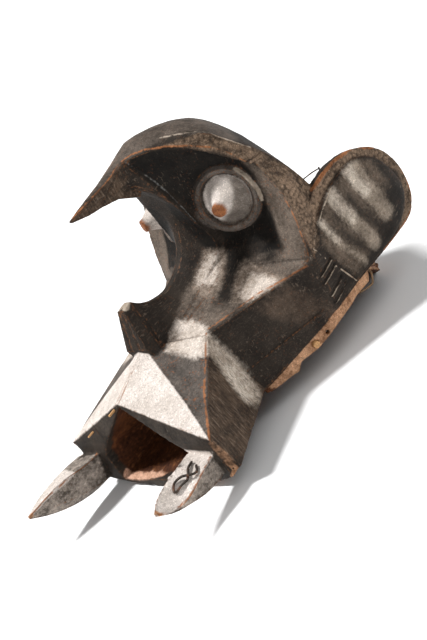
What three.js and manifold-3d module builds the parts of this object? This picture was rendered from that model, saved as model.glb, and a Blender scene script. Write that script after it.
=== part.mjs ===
// Elephant helmet mask of carved and painted wood, in millimetres.
// It is worn over the head and, off the head, lies on its hollow underside.
// The model is laid out from the peak of the mouth: x is across the face, y runs back from
// the mouth to the ears, and z rises from the rim to the trunk. The group then moves it so
// that the floor is z = 0 and the origin lies under the middle of its bounding box.

import * as THREE from 'three';
import Module from 'manifold-3d';
import { ConvexGeometry } from 'three/addons/geometries/ConvexGeometry.js';
import { LoftGeometry } from 'three/addons/geometries/LoftGeometry.js';
import { mergeVertices } from 'three/addons/utils/BufferGeometryUtils.js';

const wasm = await Module();
wasm.setup();

// Driving dimensions

const rimDepth = 122; // from the peak of the mouth down to the lowest rim
const middleOfLength = 157.5; // from the peak of the mouth back to the middle of the length
const wall = 13; // thickness of the hollowed wood
const fit = 0.35; // gap round a piece that is driven into the wood
const pegFit = 0.42; // gap round a peg or pin, whose sides are flat
const finest = 0.02; // edges shorter than this are closed up when solids are joined or cut

const muzzle = {
  peak: [0, 0, 0], // front end of the roof ridge
  ridgeFoot: [0, 70, 22], // where the roof ridge meets the nose
  cheekbone: [70, 108, 2], // knee where roof, side and cheek meet
  corner: [133, -9, -50], // upper corner of the mouth
  jaw: [137, 1, -98], // chipped lower corner
  lip: [125, -9, -105], // outer end of the lower lip
  waist: [84, 118, -91], // narrowest place of the rim
  lipSag: 17, // how far the lip bows down in its middle
};

const mouth = {
  top: 6, // thickness of the roof at the peak
  slope: 0.76, // fall of the opening's two upper sides
  halfWidth: 87,
  floor: -111, // at the lip
  floorRise: 18, // climb of the wooden floor up to its rear end
  floorDepth: 84, // length of the wooden floor behind the lip
  sill: 3, // how far the floor falls in front of the lip
  narrowing: 0.76, // width at the rear end, as a share of the width at the lip
  rearLift: 4, // climb of the opening's ridge up to its rear end
  overlap: 10, // how far the opening runs into the room for the head
};

const brow = [
  // front edge of the hood, from the cheek up to the horn
  [134, 234, -4.5],
  [139, 247, 30],
  [134, 258.5, 68],
  [116, 266, 105],
  [92, 264.5, 132],
  [67, 250.5, 160],
  [43, 222, 184],
  [13, 188, 196],
];

const crown = [
  // edge between the side of the hood and its dark top
  [124, 307, 50],
  [116, 303, 80],
  [107, 290, 116],
  [96, 272, 146],
  [80, 258, 172],
  [58, 242, 184],
  [36, 226, 193],
];

const crest = [
  // middle line of the top, from the ears forward to the horn
  [0, 374, 0],
  [0, 368, 55],
  [0, 361, 92],
  [0, 348, 127],
  [0, 328, 157],
  [0, 300, 180],
  [0, 262, 196.5],
  [0, 220, 204],
];

const paintLine = [
  // lower edge of the painted wood, from the muzzle round to the back
  [81, 116, -94],
  [137, 231, -70.5],
  [128, 310, -72.5],
  [108, 343, -80],
  [60, 372, -98],
  [0, 379, -102],
];

const rim = {
  // plan of the bare rim below the paint, and its uneven lower edge seen from the side
  plan: [
    [78, 112], [95, 142], [119, 191], [129, 212], [133, 243],
    [132, 272], [127, 302], [106, 338], [60, 368], [0, 375],
  ],
  edge: [
    [60, -90], [113, -96], [124, -100], [159, -101], [166, -93.5],
    [191, -94], [212, -88], [243, -84], [272, -82], [296, -85],
    [308, -77], [322, -88], [338, -100], [352, -111], [366, -122],
  ],
  hole: [126, 206, -84.5],
  holeRadius: 2.5,
  outward: [0.89, -0.45, 0.07],
};

const valley = {
  // foot of the trunk's flank
  nose: [24, 78, 7],
  middle: [38, 217, 46],
  bend: [34, 205, 58], // pulls the turn at the middle inwards
  horn: [13, 188, 196],
};

const notch = { y: 141.5, z: 112, radius: 64, edge: 5 }; // round opening under the horn

const nose = {
  tip: [7, 76, 71],
  tipBack: [6, 90, 73],
  foot: [20, 62, 24],
  footBack: [24, 79, 6],
  groove: 3.5, // depth of the two carved lines on its front
};

const horn = [
  // sections from the tip back into the crest: middle of the top, orange edge, underside
  { top: [93, 188], edge: [2.5, 93, 186.5], under: [2, 95, 184] },
  { top: [113, 191], edge: [5, 112, 187.5], under: [4, 116, 177] },
  { top: [152, 195], edge: [9.5, 155, 192], under: [5, 139, 172] },
  { top: [182, 199.5], edge: [14, 188, 196], under: [5, 163, 165] },
  { top: [218, 203], edge: [17, 202, 193], under: [4, 188, 148] },
];

const eye = {
  centre: [63.5, 242.5, 92.5],
  tip: [73, 214.5, 94],
  normal: [0.5, -0.85, 0.16],
  ring: 41,
  ringInner: 31,
  ringHeight: 6,
  groove: 3,
  base: 28,
  tipRadius: 8,
};

// Long edges of the two tusks, each from its root in the jaw to the tip
const nearTusk = {
  inner: [
    [84, 8, -66], [81, -9, -67], [90, -34, -62.8],
    [98, -68, -61], [108, -90, -59.5], [121, -108, -60.5],
  ],
  outer: [
    [116, 8, -71], [118, -10, -72.5], [122, -36, -74.5],
    [123, -62, -79.5], [123, -85, -77.5], [123, -109, -61.5],
  ],
  keel: [
    [113, 8, -97], [117, -10, -98.5], [119, -42, -95.5],
    [119.5, -67, -87.5], [121.5, -88, -78.5], [122.5, -109, -63.5],
  ],
  under: [
    [96, 8, -95], [97, -9, -96], [103, -40, -88],
    [108, -68, -77], [115, -89, -69], [121, -108.5, -62.5],
  ],
};
const farTusk = {
  inner: [
    [95, 8, -68], [95, -10, -68], [98, -35, -65.5],
    [104, -67, -59.5], [112, -94, -62], [121.5, -116, -66],
  ],
  outer: [
    [128, 8, -69], [136, -12, -69.5], [133, -42, -64.5],
    [130, -70, -62.5], [126.5, -95, -62.5], [124, -117, -66],
  ],
  keel: [
    [118, 8, -106], [118, -12, -110], [119, -36, -108],
    [120, -66, -99], [121, -95, -84.5], [123, -117, -69.5],
  ],
  under: [
    [100, 8, -100], [102, -11, -103], [106, -36, -99],
    [110, -66, -88], [115, -94, -76], [121.5, -116.5, -68.5],
  ],
};

const ear = {
  x: 120, // inner face of the blade
  blade: 11,
  dome: 9, // height of the panel above the blade
  outline: [
    // side view: start, then one curve to each point by its two handles
    [246, -6],
    [256, 22, 290, 54, 326, 55],
    [352, 57, 385, 49, 407, 31],
    [422, 19, 432, 0, 432, -22],
    [432, -50, 418, -70, 396, -72],
    [370, -75, 310, -73, 280, -73],
  ],
  panel: [
    [252, 0],
    [268, 24, 305, 38, 347, 40],
    [375, 42, 393, 30, 404, 15],
    [413, 2, 417, -16, 417, -32],
    [414, -55, 385, -67, 361, -69],
    [340, -70, 300, -69, 277, -69],
  ],
};

const slits = {
  heights: [-24, -33, -49.5, -59.5],
  from: [231, -2], // how far back each slit starts, and how far it drops there
  to: [262, 1.5],
  bottom: 131.5, // of the V, measured across from the middle of the mask
  open: 142, // where the V is as wide as this:
  width: 6.4,
};

const wire = {
  radius: 1.1,
  lift: 1.7, // height of the wire's middle above the tusk
  cross: 2.8, // extra height where one strand crosses the other
  route: [
    // how far along the tusk's top face, how far across it, and whether it crosses over
    [0.32, 0.42, 0], [0.4, 0.44, 0], [0.45, 0.57, 0], [0.49, 0.63, 0], [0.54, 0.56, 0],
    [0.635, 0.5, 0],
    [0.59, 0.34, 0], [0.53, 0.3, 0.1], [0.49, 0.46, 1], [0.455, 0.7, 1], [0.4, 0.8, 0], [0.34, 0.65, 0],
  ],
};

const nailRadius = 0.9;
const crestNail = {
  path: [[114, 302, 60], [118, 309.5, 60.5], [121.5, 317, 60.5], [124.5, 323, 60], [127, 328, 59]],
  headRadius: 2.2,
  headHeight: 1.6,
};
const earNail = {
  path: [[127.5, 300, -65], [129.4, 308.8, -72], [130.4, 317, -77.6]],
  headRadius: 2.7,
  headHeight: 1.2,
};
const rimPeg = { at: [118, 188, -86.5], inside: 8, outside: 4, radius: 4 };
const mouthPins = {
  mouth_pin_upper: { root: [-11, -1, -8.5], radius: 1.5 },
  mouth_pin_lower: { root: [-77, -5.3, -36], radius: 1.2 },
};
const pin = { inside: 10, outside: 9.5, droop: 0.8 };
const rimTie = {
  path: [
    [123.5, 306, -71], [129, 305, -77.5], [131, 301, -82],
    [130.5, 297, -88], [127.5, 289, -88.5], [124, 279, -86.5],
  ],
  radius: 1.4,
};

// Solids

// A closed geometry as a solid that can be cut and joined.
function solid(geometry) {
  const bare = new THREE.BufferGeometry();
  bare.setAttribute('position', geometry.getAttribute('position'));
  bare.setIndex(geometry.index);
  const merged = mergeVertices(bare, 1e-4);
  const corners = merged.index.array;
  const triangles = [];
  for (let i = 0; i < corners.length; i += 3) {
    const [a, b, c] = [corners[i], corners[i + 1], corners[i + 2]];
    if (a !== b && b !== c && c !== a) triangles.push(a, b, c);
  }
  const mesh = new wasm.Mesh({
    numProp: 3,
    vertProperties: merged.attributes.position.array,
    triVerts: new Uint32Array(triangles),
    tolerance: finest,
  });
  return new wasm.Manifold(mesh);
}

// A cut or joined solid as a geometry again.
function geometryOf(made) {
  const mesh = made.getMesh();
  const geometry = new THREE.BufferGeometry();
  geometry.setAttribute('position', new THREE.BufferAttribute(mesh.vertProperties, 3));
  geometry.setIndex(new THREE.BufferAttribute(mesh.triVerts, 1));
  geometry.computeVertexNormals();
  return geometry;
}

const point = ([x, y, z]) => new THREE.Vector3(x, y, z);
const flipped = ([x, y, z]) => [-x, y, z];
const bothSides = (points) => [...points, ...points.map(flipped)];
const mix = (a, b, t) => a.map((value, i) => value + (b[i] - value) * t);
const smooth = (points) => new THREE.CatmullRomCurve3(points.map(point), false, 'centripetal');

const hull = (points) => solid(new ConvexGeometry(points.map(point)));

// A round rod along a path, closed at both ends.
function rod(path, radius, steps = 14, sides = 8) {
  const section = new THREE.Shape();
  for (let i = 0; i < sides; i += 1) {
    const angle = (2 * Math.PI * i) / sides;
    const [u, v] = [radius * Math.cos(angle), radius * Math.sin(angle)];
    if (i === 0) section.moveTo(u, v);
    else section.lineTo(u, v);
  }
  section.closePath();
  return solid(new THREE.ExtrudeGeometry(section, { steps, extrudePath: path }));
}

// A profile of radius and height turned round an axis through a point.
function turned(profile, at, axis, segments) {
  const outline = profile.map(([radius, height]) => new THREE.Vector2(radius, height));
  const geometry = new THREE.LatheGeometry(outline, segments);
  const up = new THREE.Vector3(0, 1, 0);
  geometry.applyQuaternion(new THREE.Quaternion().setFromUnitVectors(up, axis));
  geometry.translate(at.x, at.y, at.z);
  return solid(geometry);
}

// A closed loft through rings of points, each wound so that the faces point outwards.
function loft(sections) {
  const rings = sections.map((ring) => ring.map(point));
  const [first] = rings;
  const sumOf = (ring) => ring.reduce((sum, p) => sum.add(p), new THREE.Vector3());
  const middleOf = (ring) => sumOf(ring).divideScalar(ring.length);
  const along = middleOf(rings[1]).sub(middleOf(first));
  const winding = new THREE.Vector3();
  first.forEach((p, i) => winding.add(p.clone().cross(first[(i + 1) % first.length])));
  if (winding.dot(along) < 0) rings.forEach((ring) => ring.reverse());
  return solid(new LoftGeometry(rings, { capStart: true, capEnd: true }));
}

const mirrored = (made) => made.mirror([1, 0, 0]);

// The helmet without face: painted hood, and the bare rim set in below it

function helmet() {
  const edge = smooth(brow).getSpacedPoints(14).map((p) => p.toArray());
  const top = smooth(crown).getSpacedPoints(12).map((p) => p.toArray());
  const middle = smooth(crest).getSpacedPoints(12).map((p) => p.toArray());
  const swell = 4;
  const dome = top.flatMap((side, i) => [0.3, 0.6, 0.85].map((t) => {
    const [x, y, z] = mix(side, middle[i], t);
    const lift = swell * Math.sin(Math.PI * t);
    return [x, y + lift, z + lift];
  }));
  const front = [muzzle.cheekbone, muzzle.waist, valley.nose];
  return hull(bothSides([...edge, ...top, ...middle, ...dome, ...paintLine, ...front]));
}

function bareRim() {
  const [top, bottom] = [-60, -rimDepth];
  const ring = rim.plan.flatMap(([x, y]) => [[x, y, top], [x, y, bottom]]);
  const reach = 200;
  const below = new THREE.Shape(rim.edge.map(([y, z]) => new THREE.Vector2(y, z)));
  below.lineTo(rim.edge.at(-1)[0], -reach);
  below.lineTo(rim.edge[0][0], -reach);
  below.closePath();
  return hull(bothSides(ring)).subtract(plate(below, -reach, 2 * reach));
}

// The hole for a cord through the rim

function rimHole() {
  const [at, outward] = [point(rim.hole), point(rim.outward)];
  const path = new THREE.LineCurve3(
    at.clone().addScaledVector(outward, -2 * wall),
    at.clone().addScaledVector(outward, wall),
  );
  return rod(path, rim.holeRadius, 1);
}

// The face: a scoop from the trunk's foot out to the brow and the cheek's edge

// The line where the trunk's flank stands on the face: its first half lies on the cheek and
// its second half on the ledge above it.
function footCurve() {
  const { nose: start, middle, horn: top } = valley;
  const bend = mix(middle, valley.bend, 0.5);
  return smooth([start, mix(start, middle, 0.5), bend, mix(middle, top, 0.3), top]);
}

function faceScoop() {
  const rows = 24;
  const cheekShare = 0.36; // part of the rows that lies on the cheek
  const reach = [0, -250, 70];
  const ledge = [2, 16, -6]; // from the flank's foot back to the eye field, where it is deepest
  const ledgeColumns = [0, 0.5, 1];
  const fieldColumns = [0.12, 0.26, 0.42, 0.58, 0.74, 0.88];
  const lastRow = 0.985; // just short of the brow's end, where the rows would meet
  const pastBrow = 1.03;
  const [shallow, cheekSag, fieldSag] = [0.8, 3, 10]; // hollowing of the floor in all, and on each part
  const browCurve = smooth(brow);
  const innerCurve = footCurve();
  const share = (u, from, to) => Math.min(1, Math.max(0, (u - from) / (to - from)));
  const rise = (u, from, to) => Math.sin(Math.PI * share(u, from, to));
  const sections = [];
  for (let i = 0; i <= rows; i += 1) {
    const u = (lastRow * i) / rows;
    const inner = innerCurve.getPoint(u).toArray();
    const outer = u < cheekShare
      ? mix(muzzle.cheekbone, brow[0], u / cheekShare)
      : browCurve.getPoint((u - cheekShare) / (1 - cheekShare)).toArray();
    const depth = rise(u, 0.31, 1.02) ** 0.85;
    const sag = shallow + cheekSag * rise(u, 0.02, 0.5) + fieldSag * rise(u, 0.35, 1);
    const sunk = (p, amount) => [p[0], p[1] + 0.86 * amount, p[2] - 0.5 * amount];
    const wallFoot = inner.map((value, k) => value + ledge[k] * depth);
    const line = ledgeColumns.map((v) => sunk(mix(inner, wallFoot, v), 0.5 * v * (1 - v)));
    fieldColumns.forEach((v) => {
      line.push(sunk(mix(wallFoot, outer, v), sag * Math.sin(Math.PI * v ** 0.8)));
    });
    line.push(outer, mix(wallFoot, outer, pastBrow));
    const floor = [...line.map(flipped).reverse(), ...line];
    const roof = floor.map((p) => p.map((value, k) => value + reach[k])).reverse();
    sections.push([...floor, ...roof]);
  }
  return loft(sections);
}

// The muzzle, a gabled box with a bowed lower lip

function muzzleBlock() {
  const lip = [];
  for (let i = 0; i <= 5; i += 1) {
    const x = (muzzle.lip[0] * i) / 5;
    lip.push([x, muzzle.lip[1], -rimDepth + muzzle.lipSag * (i / 5) ** 2]);
  }
  const rear = [0, 118, -100];
  const { peak, ridgeFoot, cheekbone, corner, jaw, waist } = muzzle;
  return hull(bothSides([peak, ridgeFoot, cheekbone, corner, jaw, waist, rear, ...lip]));
}

// The trunk: nose, flank with its round notch, and horn

function flank() {
  const sections = [];
  const steps = 28;
  const first = THREE.MathUtils.degToRad(-142);
  const last = THREE.MathUtils.degToRad(96);
  const atMiddle = 0.44; // share of the arc that faces the cheek
  const atHorn = 0.88; // share of the arc where the foot has reached the horn
  const buried = [0.6, 1.2, -2]; // how far the foot reaches below the cheek
  const proud = [0.9, -0.4, 0]; // how far it stands out over the ledge
  const curve = footCurve();
  for (let i = 0; i <= steps; i += 1) {
    const u = i / steps;
    const angle = first + (last - first) * u;
    const [across, up] = [notch.radius * Math.cos(angle), notch.radius * Math.sin(angle)];
    const edge = [notch.edge, notch.y + across, notch.z + up];
    const climb = Math.min(1, (u - atMiddle) / (atHorn - atMiddle));
    const along = u < atMiddle ? (0.5 * u) / atMiddle : 0.5 + 0.5 * climb;
    const shift = mix(buried, proud, Math.min(1, Math.max(0, 4 * (along - 0.35))));
    const foot = curve.getPoint(along).toArray().map((value, k) => value + shift[k]);
    const between = [0.35, 0.7].map((t) => {
      const [x, y, z] = mix(edge, foot, t);
      return [x + 1.5, y, z];
    });
    const inside = [foot[0] - 3, foot[1] + 14, foot[2] - 14 * Math.max(0, 1 - u / atMiddle)];
    const half = [edge, ...between, foot, inside];
    sections.push([...half, ...half.map(flipped).reverse()]);
  }
  return loft(sections);
}

function noseBlock() {
  const { tip, tipBack, foot, footBack } = nose;
  return hull(bothSides([tip, tipBack, foot, footBack, [22, 70, 0], [18, 92, 0]]));
}

function noseGrooves() {
  const cuts = [];
  for (const side of [-1, 1]) {
    const points = [];
    for (const [x, y, z, width] of [[2.8, 75, 74, 1.2], [8, 60, 22, 3]]) {
      points.push([side * (x - width), y - 3, z]);
      points.push([side * (x + width), y - 3, z]);
      points.push([side * x, y + nose.groove, z]);
    }
    cuts.push(hull(points));
    const gap = [[8, 86, 66], [11, 90, 66], [8, 94, 64], [26, 74, 14], [30, 84, 14], [21, 80, 14]];
    cuts.push(hull(gap.map(([x, y, z]) => [side * x, y, z])));
  }
  return cuts;
}

function hornBlock() {
  const parts = [];
  const ring = ({ top, edge, under }) => bothSides([[0, ...top], edge, under]);
  for (let i = 0; i + 1 < horn.length; i += 1) {
    parts.push(hull([...ring(horn[i]), ...ring(horn[i + 1])]));
  }
  return parts;
}

// One eye: a raised ring with a cone that stands in it

function eyeCone() {
  const { ring, ringInner, ringHeight, groove, base, tipRadius } = eye;
  const towards = point(eye.tip).sub(point(eye.centre));
  const height = towards.length();
  const ringProfile = [
    [0, -16],
    [ring - 2, -16],
    [ring, 0],
    [ring - 3, ringHeight * 0.7],
    [(ring + ringInner) / 2 + 1, ringHeight],
    [ringInner + 1, ringHeight * 0.6],
    [ringInner - 1, -groove],
    [0, -groove],
  ];
  const coneProfile = [[0, -12], [base + 1, -12]];
  for (let i = 0; i <= 5; i += 1) {
    const t = i / 5;
    const radius = base + (tipRadius - base) * (0.35 * t + 0.65 * Math.sin((Math.PI / 2) * t));
    coneProfile.push([radius, -groove + (height + groove) * t]);
  }
  coneProfile.push([0, height]);
  const ringSolid = turned(ringProfile, point(eye.centre), point(eye.normal).normalize(), 32);
  const cone = turned(coneProfile, point(eye.centre), towards.normalize(), 24);
  return ringSolid.add(cone);
}

// A tusk between its four long edges, each a smooth curve

function tuskBlade(edges) {
  const steps = 12;
  const curves = [edges.inner, edges.outer, edges.keel, edges.under].map(smooth);
  const sections = [];
  for (let i = 0; i <= steps; i += 1) {
    sections.push(curves.map((curve) => curve.getPoint(i / steps).toArray()));
  }
  return loft(sections);
}

// One ear: a flat blade with a domed panel, on the side of the hood

function sideView(points) {
  const [first, ...curves] = points;
  const shape = new THREE.Shape();
  shape.moveTo(...first);
  curves.forEach((curve) => shape.bezierCurveTo(...curve));
  return shape.closePath();
}

// Extrudes a side view, drawn in y and z, outward from the given x.
function plate(shape, x, thickness) {
  const settings = { depth: thickness, bevelEnabled: false, curveSegments: 7 };
  const geometry = new THREE.ExtrudeGeometry(shape, settings);
  geometry.applyMatrix4(new THREE.Matrix4().set(0, 0, 1, x, 1, 0, 0, 0, 0, 1, 0, 0, 0, 0, 0, 1));
  return solid(geometry);
}

function earBlade() {
  const blade = plate(sideView(ear.outline), ear.x, ear.blade);
  const outline = sideView(ear.panel).extractPoints(6).shape;
  const middle = new THREE.Vector2(338, -14);
  const face = ear.x + ear.blade;
  const domed = [[1, -1], [1, 0.3], [0.95, 0.55], [0.84, 0.78], [0.66, 0.92], [0.4, 1], [0.1, 1]];
  const points = domed.flatMap(([size, rise]) => outline.map((p) => {
    const at = p.clone().sub(middle).multiplyScalar(size).add(middle);
    return [face + ear.dome * rise, at.x, at.y];
  }));
  return blade.add(hull(points));
}

// Four slits between the cheek and the ear's panel

function stemSlits() {
  const { heights, from, to, bottom, open, width } = slits;
  return heights.map((height) => {
    const corners = [from, to].flatMap(([y, rise]) => [
      [bottom, y, height + rise],
      [open, y, height + rise + width / 2],
      [open, y, height + rise - width / 2],
    ]);
    return hull(corners);
  });
}

// The hollow: a room for the head, open below, and the mouth that opens into it

function hollow() {
  const below = -rimDepth - 20;
  const front = mouth.floorDepth;
  const room = bothSides([
    [muzzle.waist[0] - wall + 4, front, below],
    [muzzle.waist[0] - wall, 118, below],
    [118, 242, below],
    [113, 302, below],
    [94, 332, below],
    [52, 356, below],
    [60, front, -34],
    [54, 112, -20],
    [116, 246, -24],
    [112, 304, -22],
    [90, 334, -20],
    [36, 360, -20],
  ]);
  const dome = bothSides([
    [106, 258, -26],
    [104, 306, -26],
    [80, 338, -26],
    [30, 358, -26],
    [94, 268, 40],
    [88, 306, 44],
    [24, 348, 50],
    [30, 262, 40],
    [48, 280, 116],
    [42, 318, 118],
    [16, 286, 150],
    [14, 308, 150],
  ]);
  return [hull(room), hull(dome)];
}

function mouthTunnel() {
  const { top, slope, halfWidth, floor, floorRise, floorDepth, sill, narrowing, rearLift, overlap } = mouth;
  const front = -30;
  const shoulder = -top - slope * halfWidth;
  const opening = (y, narrow, lift, rise) => bothSides([
    [0, y, -top + lift],
    [halfWidth * narrow, y, shoulder],
    [halfWidth * narrow, y, floor + rise],
  ]);
  const rear = opening(floorDepth + overlap, narrowing, rearLift, floorRise);
  return hull([...opening(front, 1, 0, -sill), ...rear]);
}

function maskBody(sockets) {
  let body = helmet().add(bareRim()).subtract(faceScoop()).add(muzzleBlock());
  body = body.add(flank()).add(noseBlock());
  for (const piece of hornBlock()) body = body.add(piece);
  for (const cut of [...hollow(), mouthTunnel(), ...noseGrooves()]) body = body.subtract(cut);
  for (const piece of [eyeCone(), earBlade()]) body = body.add(piece).add(mirrored(piece));
  body = body.add(tuskBlade(nearTusk)).add(mirrored(tuskBlade(farTusk)));
  for (const cut of stemSlits()) body = body.subtract(cut).subtract(mirrored(cut));
  for (const cut of [rimHole(), ...sockets]) body = body.subtract(cut);
  // where two carved faces meet almost flush, the cuts can leave slivers: only the block itself is kept
  const [block] = body.decompose().sort((a, b) => b.volume() - a.volume());
  return block;
}

// Small pieces that are driven in or tied on: each rod has a socket a little wider than itself

const line = (from, to) => new THREE.LineCurve3(point(from), point(to));

function nail({ path, headRadius, headHeight }) {
  const curve = smooth(path);
  const along = curve.getTangent(1);
  const profile = [
    [0, -headHeight / 2],
    [headRadius, -headHeight / 2],
    [headRadius, headHeight / 4],
    [headRadius * 0.6, headHeight / 2],
    [0, headHeight / 2],
  ];
  const head = turned(profile, point(path.at(-1)), along, 10);
  return { piece: rod(curve, nailRadius, 8, 6).add(head), socket: rod(curve, nailRadius + fit, 8, 6) };
}

function peg() {
  const { at, inside, outside, radius } = rimPeg;
  const [middle, outward] = [point(at), point(rim.outward)];
  const start = middle.clone().addScaledVector(outward, -inside);
  const path = new THREE.LineCurve3(start, middle.clone().addScaledVector(outward, outside));
  return { piece: rod(path, radius, 1, 7), socket: rod(path, radius + pegFit, 1, 7) };
}

function mouthPin({ root: [x, y, z], radius }) {
  const path = line([x, y + pin.inside, z], [x - 1, y - pin.outside, z - pin.droop]);
  return { piece: rod(path, radius, 1, 7), socket: rod(path, radius + pegFit, 1, 7) };
}

function tie() {
  const path = smooth(rimTie.path);
  return { piece: rod(path, rimTie.radius, 18, 7), socket: rod(path, rimTie.radius + fit, 18, 7) };
}

// The wire lies on the near tusk's top face, in a figure of eight

function repairWire() {
  const [inner, outer] = [smooth(nearTusk.inner), smooth(nearTusk.outer)];
  const points = wire.route.map(([along, across, crossing]) => {
    const [a, b] = [inner.getPoint(along), outer.getPoint(along)];
    const ahead = inner.getTangent(along);
    const up = ahead.cross(b.clone().sub(a)).normalize();
    if (up.z < 0) up.negate();
    return a.lerp(b, across).addScaledVector(up, wire.lift + wire.cross * crossing);
  });
  return rod(new THREE.CatmullRomCurve3(points, false, 'centripetal'), wire.radius, 48, 6);
}

// The scene

const driven = {
  crest_nail: nail(crestNail),
  ear_nail: nail(earNail),
  rim_peg: peg(),
  mouth_pin_upper: mouthPin(mouthPins.mouth_pin_upper),
  mouth_pin_lower: mouthPin(mouthPins.mouth_pin_lower),
  rim_tie: tie(),
};
const finishes = {
  crest_nail: [0x6b5a45, 0.6, 0.5],
  ear_nail: [0x4a3226, 0.7, 0.5],
  rim_peg: [0xb9824e, 0.8, 0],
  mouth_pin_upper: [0xb08a55, 0.8, 0],
  mouth_pin_lower: [0xe0ae78, 0.8, 0],
  rim_tie: [0x6d4b2c, 0.9, 0],
};

const mask = new THREE.Group();
mask.position.set(0, -middleOfLength, rimDepth);

function addPiece(name, made, [colour, roughness, metalness]) {
  const material = new THREE.MeshStandardMaterial({ color: colour, roughness, metalness });
  const mesh = new THREE.Mesh(geometryOf(made), material);
  mesh.name = name;
  mask.add(mesh);
}

const sockets = Object.values(driven).map(({ socket }) => socket);
addPiece('mask_body', maskBody(sockets), [0x3a322b, 0.75, 0]);
addPiece('repair_wire', repairWire(), [0x2b2622, 0.55, 0.8]);
Object.entries(driven).forEach(([name, { piece }]) => addPiece(name, piece, finishes[name]));

export default mask;
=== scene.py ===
import math

import bmesh
import bpy
import numpy as np
from mathutils import Matrix, Vector
from mathutils.bvhtree import BVHTree
from mathutils.kdtree import KDTree


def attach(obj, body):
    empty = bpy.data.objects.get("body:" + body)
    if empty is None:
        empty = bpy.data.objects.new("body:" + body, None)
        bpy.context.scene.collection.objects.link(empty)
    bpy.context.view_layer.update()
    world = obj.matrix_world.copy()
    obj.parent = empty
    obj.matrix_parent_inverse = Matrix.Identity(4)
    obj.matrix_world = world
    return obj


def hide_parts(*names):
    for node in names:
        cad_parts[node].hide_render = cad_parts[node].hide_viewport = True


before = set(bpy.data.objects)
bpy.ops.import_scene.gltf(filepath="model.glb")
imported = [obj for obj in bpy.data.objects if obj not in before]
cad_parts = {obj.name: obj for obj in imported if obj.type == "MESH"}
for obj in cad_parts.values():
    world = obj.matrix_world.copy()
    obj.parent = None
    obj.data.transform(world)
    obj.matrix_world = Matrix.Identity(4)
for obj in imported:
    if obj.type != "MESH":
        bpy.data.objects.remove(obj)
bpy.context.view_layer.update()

# A carved and painted wooden elephant mask, lying on its hollow underside.
# Places on it are in millimetres from the peak of its mouth: x across, y back and z up.
# The painted marks were read off the photograph, so their places are pixels of its view,
# which the camera casts onto the wood. The far side repeats them, mirrored.

millimetre = 0.001
peakOfMouth = Vector((0, -157.5, 122))  # in the lying mask's own frame
body = "root"

view = dict(
    place=(1387, -728, 625),
    right=(0.621, 0.562, -0.548),
    up=(0.072, 0.654, 0.752),
    back=(0.781, -0.506, 0.365),
    lens=84.4,
    sensor=36,
    width=427,
    height=640,
    perPixel=1.12,  # millimetres for each pixel, at the mask's middle
)
pixelShare = view["sensor"] / view["lens"] / view["height"]  # what a pixel spans at a distance of 1


# Camera, floor and lights


def added(name, data):
    made = bpy.data.objects.new(name, data)
    bpy.context.collection.objects.link(made)
    return made


def makeCamera():
    data = bpy.data.cameras.new("camera")
    data.lens = view["lens"]
    data.sensor_width = view["sensor"]
    camera = added("camera", data)
    axes = Matrix((view["right"], view["up"], view["back"])).transposed()
    camera.matrix_world = axes.to_4x4()
    camera.location = (Vector(view["place"]) + peakOfMouth) * millimetre
    bpy.context.scene.camera = camera


studio = dict(
    floorSize=60,
    floorColour=(0.93, 0.93, 0.93),
    floorRoughness=0.9,
    middle=(0, 0, 0.15),  # what the lights are aimed at
    keyFrom=(-0.358, -0.26, 0.898),
    keySpread=9.5,  # degrees across
    keyPower=4.3,
    fillFrom=(0.45, -0.85, 0.5),
    fillDistance=2.6,
    fillSize=2.4,
    fillPower=9,
    backFrom=(0.6, 0.72, 0.6),
    backDistance=3,
    backSize=2.5,
    backPower=30,
    sky=0.28,
)


def addLight(name, kind, direction, power):
    data = bpy.data.lights.new(name, kind)
    data.energy = power
    light = added(name, data)
    light.rotation_mode = "QUATERNION"
    light.rotation_quaternion = Vector(direction).to_track_quat("Z", "Y")
    return light


def softLight(name):
    direction = studio[name + "From"]
    light = addLight(name, "AREA", direction, studio[name + "Power"])
    light.data.size = studio[name + "Size"]
    away = Vector(direction).normalized() * studio[name + "Distance"]
    light.location = away + Vector(studio["middle"])


def makeStudio():
    half = studio["floorSize"] / 2
    mesh = bpy.data.meshes.new("floor")
    corners = [(-half, -half, 0), (half, -half, 0), (half, half, 0), (-half, half, 0)]
    mesh.from_pydata(corners, [], [(0, 1, 2, 3)])
    floor = added("floor", mesh)
    paint = bpy.data.materials.new("floor_paint")
    paint.use_nodes = True
    surface = paint.node_tree.nodes["Principled BSDF"]
    surface.inputs["Base Color"].default_value = (*studio["floorColour"], 1)
    surface.inputs["Roughness"].default_value = studio["floorRoughness"]
    mesh.materials.append(paint)
    key = addLight("key", "SUN", studio["keyFrom"], studio["keyPower"])
    key.data.angle = math.radians(studio["keySpread"])
    softLight("fill")
    softLight("back")
    world = bpy.data.worlds.new("sky")
    world.use_nodes = True
    background = world.node_tree.nodes["Background"]
    background.inputs["Color"].default_value = (1, 1, 1, 1)
    background.inputs["Strength"].default_value = studio["sky"]
    bpy.context.scene.world = world
    bpy.context.scene.view_settings.view_transform = "Standard"


makeCamera()
makeStudio()
print("studio ready")


# Shader maths: a wire carries a socket, and expressions on wires add their nodes


class Wire:
    def __init__(self, paint, socket):
        self.paint = paint
        self.socket = socket

    def maths(self, operation, other):
        return self.paint.node("Math", dict(operation=operation), {0: self, 1: other})

    def __add__(self, other):
        return self.maths("ADD", other)

    __radd__ = __add__

    def __sub__(self, other):
        return self.maths("SUBTRACT", other)

    def __rsub__(self, other):
        return self * -1 + other

    def __mul__(self, other):
        return self.maths("MULTIPLY", other)

    __rmul__ = __mul__

    def step(self, low, high):
        # 0 below low and 1 above high, with a soft passage between them
        settings = dict(interpolation_type="SMOOTHSTEP")
        return self.paint.node("MapRange", settings, {0: self, 1: low, 2: high})


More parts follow.
